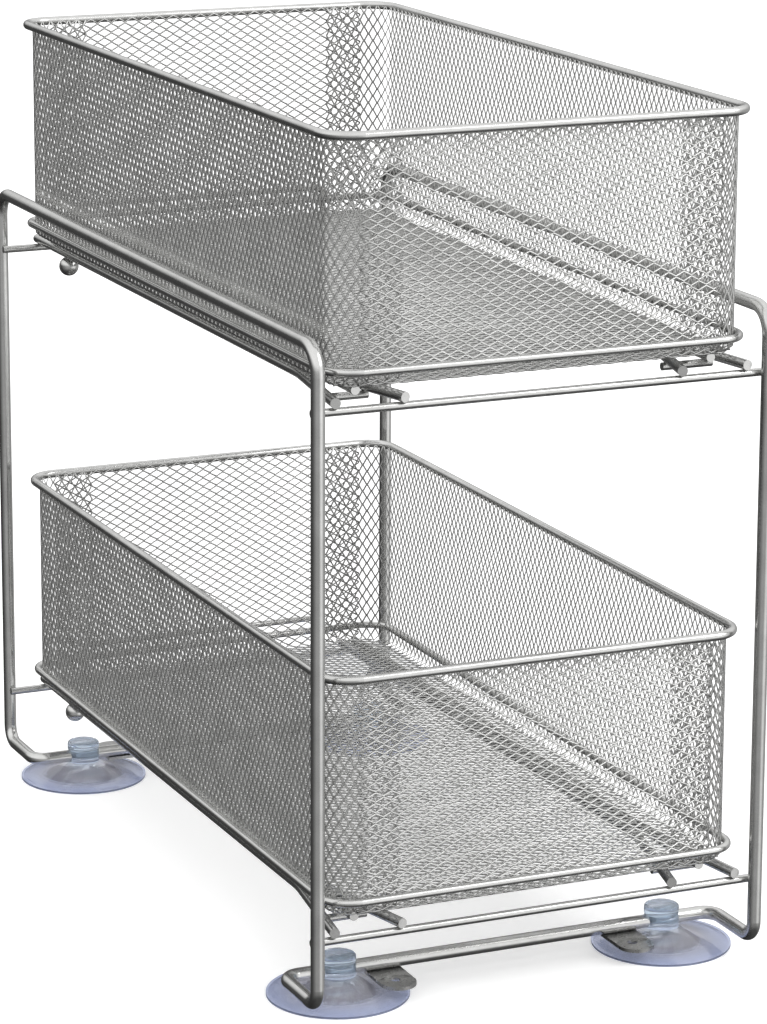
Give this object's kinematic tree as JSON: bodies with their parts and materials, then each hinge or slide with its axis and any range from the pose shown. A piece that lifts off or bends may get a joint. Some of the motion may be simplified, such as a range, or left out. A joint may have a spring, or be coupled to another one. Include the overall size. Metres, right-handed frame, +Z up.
{
  "type": "under sink organizer",
  "caption": "Freestanding two-tier wire rack with sliding mesh baskets on double-wire tracks, bent side frames, screw tabs and suction cup feet.",
  "frame": {"origin": "centre of the footprint on the floor, under the suction cups", "axes": "+X to the right, +Y to the rear (the baskets pull out along -Y), +Z up"},
  "size_m": [0.218, 0.406, 0.3786],
  "materials": {
    "silver_wire": "satin silver paint on steel wire",
    "silver_mesh": "satin silver paint on expanded steel mesh",
    "grey_tab": "dull grey pressed steel",
    "clear_cup": "clear bluish flexible vinyl"
  },
  "bodies": {
    "frame": {"left_side_frame": "silver_wire", "right_side_frame": "silver_wire", "front_foot_bar": "silver_wire", "rear_foot_bar": "silver_wire", "lower_front_cross_wire": "silver_wire", "lower_rear_cross_wire": "silver_wire", "upper_front_cross_wire": "silver_wire", "upper_rear_cross_wire": "silver_wire", "lower_left_outer_rail": "silver_wire", "lower_left_inner_rail": "silver_wire", "lower_right_inner_rail": "silver_wire", "lower_right_outer_rail": "silver_wire", "upper_left_outer_rail": "silver_wire", "upper_left_inner_rail": "silver_wire", "upper_right_inner_rail": "silver_wire", "upper_right_outer_rail": "silver_wire", "lower_left_bridge": "silver_wire", "lower_right_bridge": "silver_wire", "upper_left_bridge": "silver_wire", "upper_right_bridge": "silver_wire", "lower_rear_stop": "silver_wire", "upper_rear_stop": "silver_wire", "front_left_cup": "clear_cup", "front_right_cup": "clear_cup", "rear_left_cup": "clear_cup", "rear_right_cup": "clear_cup", "front_left_tab": "grey_tab", "front_right_tab": "grey_tab", "rear_left_tab": "grey_tab", "rear_right_tab": "grey_tab"},
    "upper_basket": {"upper_top_rim": "silver_wire", "upper_low_rim": "silver_wire", "upper_front_mesh": "silver_mesh", "upper_rear_mesh": "silver_mesh", "upper_left_mesh": "silver_mesh", "upper_right_mesh": "silver_mesh", "upper_floor_mesh": "silver_mesh", "upper_left_runner": "silver_wire", "upper_right_runner": "silver_wire", "upper_left_ball": "silver_wire", "upper_right_ball": "silver_wire"},
    "lower_basket": {"lower_top_rim": "silver_wire", "lower_low_rim": "silver_wire", "lower_front_mesh": "silver_mesh", "lower_rear_mesh": "silver_mesh", "lower_left_mesh": "silver_mesh", "lower_right_mesh": "silver_mesh", "lower_floor_mesh": "silver_mesh", "lower_left_runner": "silver_wire", "lower_right_runner": "silver_wire", "lower_left_ball": "silver_wire", "lower_right_ball": "silver_wire"}
  },
  "joints": [
    {"name": "upper_basket_slide", "type": "slide", "parent": "frame", "child": "upper_basket", "axis": [0, -1, 0], "range_m": [0, 0.326]},
    {"name": "lower_basket_slide", "type": "slide", "parent": "frame", "child": "lower_basket", "axis": [0, -1, 0], "range_m": [0, 0.326]}
  ]
}
